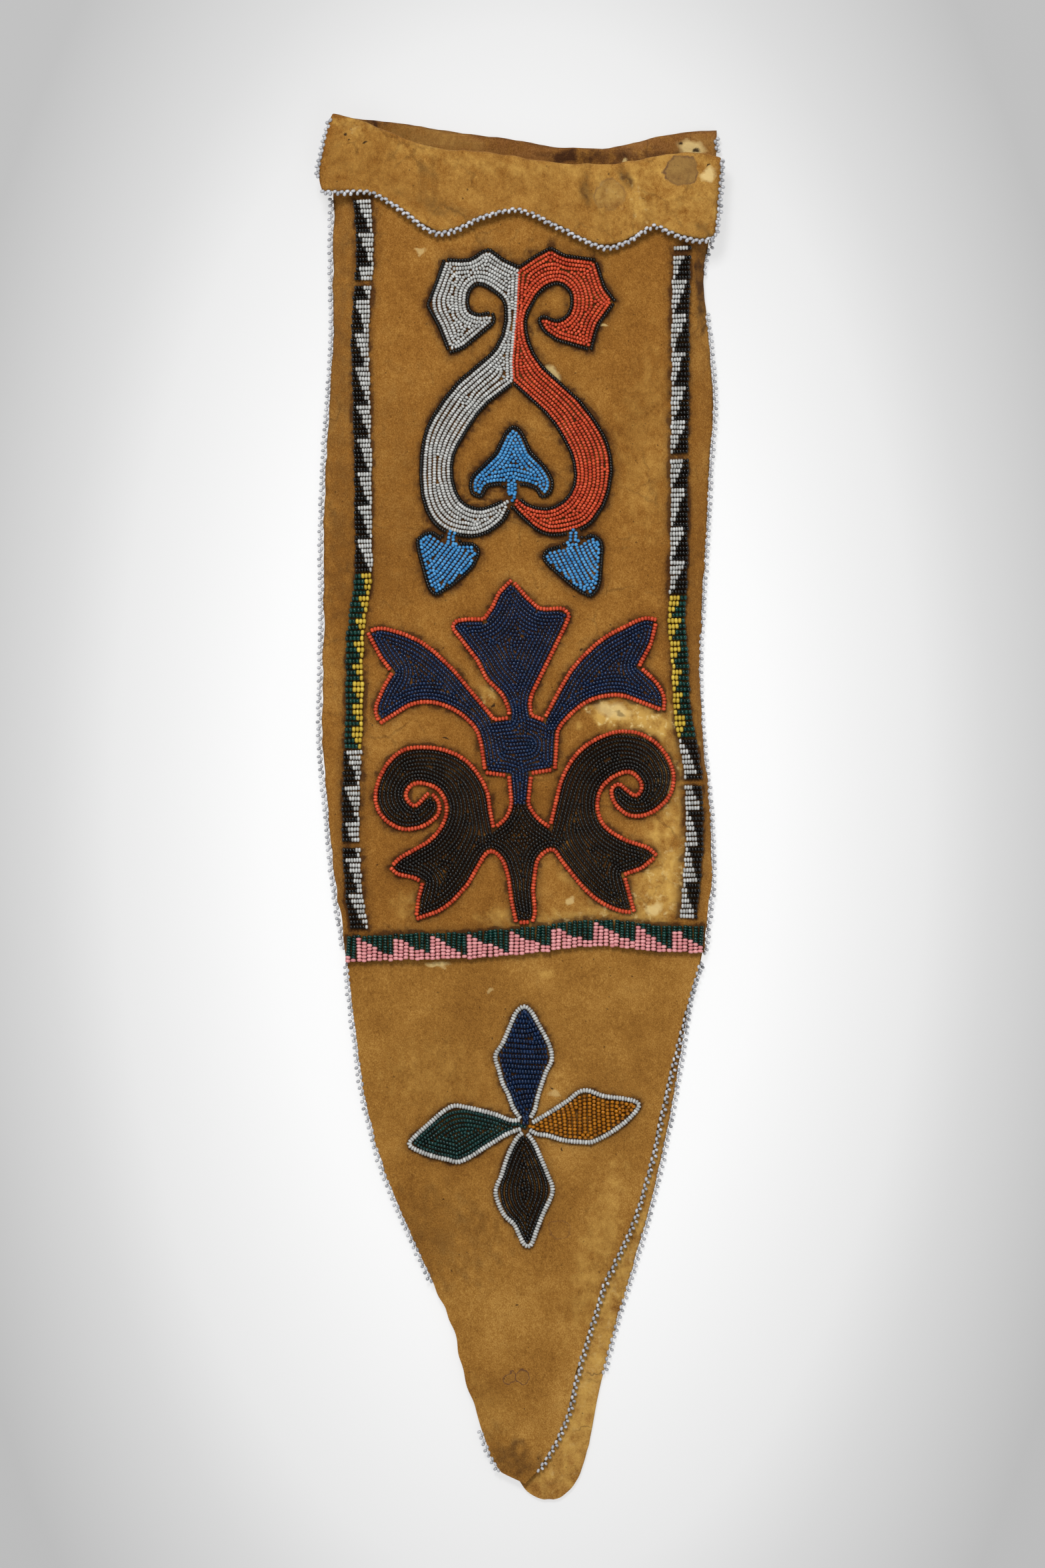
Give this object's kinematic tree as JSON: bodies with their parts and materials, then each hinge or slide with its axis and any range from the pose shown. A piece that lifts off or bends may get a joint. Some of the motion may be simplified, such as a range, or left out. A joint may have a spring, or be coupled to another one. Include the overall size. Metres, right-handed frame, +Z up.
{
  "type": "beaded pipe bag",
  "caption": "Long hide pouch lying flat on its back, with a turned-down mouth cuff, beaded lanes, band and scroll figures on the front, and a free double tail.",
  "frame": {"origin": "on the floor under the middle of the bag's length and width", "axes": "+Y along the bag towards its mouth, +Z up out of the beaded front, +X across to the right as seen from the front"},
  "size_m": [0.1693, 0.5709, 0.0151],
  "materials": {
    "panel_hide": "tanned hide, napped",
    "back_hide": "tanned hide, napped",
    "tail_hide": "tanned hide, napped",
    "white_beads": "opaque glass, glossy",
    "black_beads": "opaque glass, glossy",
    "red_beads": "opaque glass, glossy",
    "blue_beads": "opaque glass, glossy",
    "navy_beads": "clear dark glass, glossy",
    "yellow_beads": "opaque glass, glossy",
    "green_beads": "clear dark glass, glossy",
    "pink_beads": "opaque glass, glossy",
    "ochre_beads": "opaque glass, glossy",
    "teal_beads": "clear dark glass, glossy"
  },
  "bodies": {
    "root": {"front_hide": "panel_hide", "back_hide": "back_hide", "front_tail": "tail_hide", "cuff_edge_beads": "white_beads", "cuff_left_edge_beads": "white_beads", "cuff_right_edge_beads": "white_beads", "left_seam_beads": "white_beads", "right_seam_beads": "white_beads", "front_tail_left_edge_beads": "white_beads", "front_tail_tip_beads": "white_beads", "front_tail_right_edge_beads": "white_beads", "back_tail_right_edge_beads": "white_beads", "back_tail_left_edge_beads": "white_beads", "left_lane_upper_black": "black_beads", "left_lane_upper_white": "white_beads", "left_lane_middle_green": "green_beads", "left_lane_middle_yellow": "yellow_beads", "left_lane_lower_black": "black_beads", "left_lane_lower_white": "white_beads", "right_lane_upper_white": "white_beads", "right_lane_upper_black": "black_beads", "right_lane_middle_yellow": "yellow_beads", "right_lane_middle_green": "green_beads", "right_lane_lower_white": "white_beads", "right_lane_lower_black": "black_beads", "tail_band_pink": "pink_beads", "tail_band_green": "green_beads", "scroll_white_field": "white_beads", "scroll_red_field": "red_beads", "scroll_outer_outline": "black_beads", "scroll_inner_outline": "black_beads", "trefoil_field": "blue_beads", "trefoil_outline": "black_beads", "left_heart_field": "blue_beads", "left_heart_outline": "black_beads", "right_heart_field": "blue_beads", "right_heart_outline": "black_beads", "navy_plant_field": "navy_beads", "black_scroll_field": "black_beads", "plant_outline": "red_beads", "top_petal_field": "navy_beads", "top_petal_outline": "white_beads", "right_petal_field": "ochre_beads", "right_petal_outline": "white_beads", "bottom_petal_field": "black_beads", "bottom_petal_outline": "white_beads", "left_petal_field": "teal_beads", "left_petal_outline": "white_beads"}
  },
  "joints": []
}
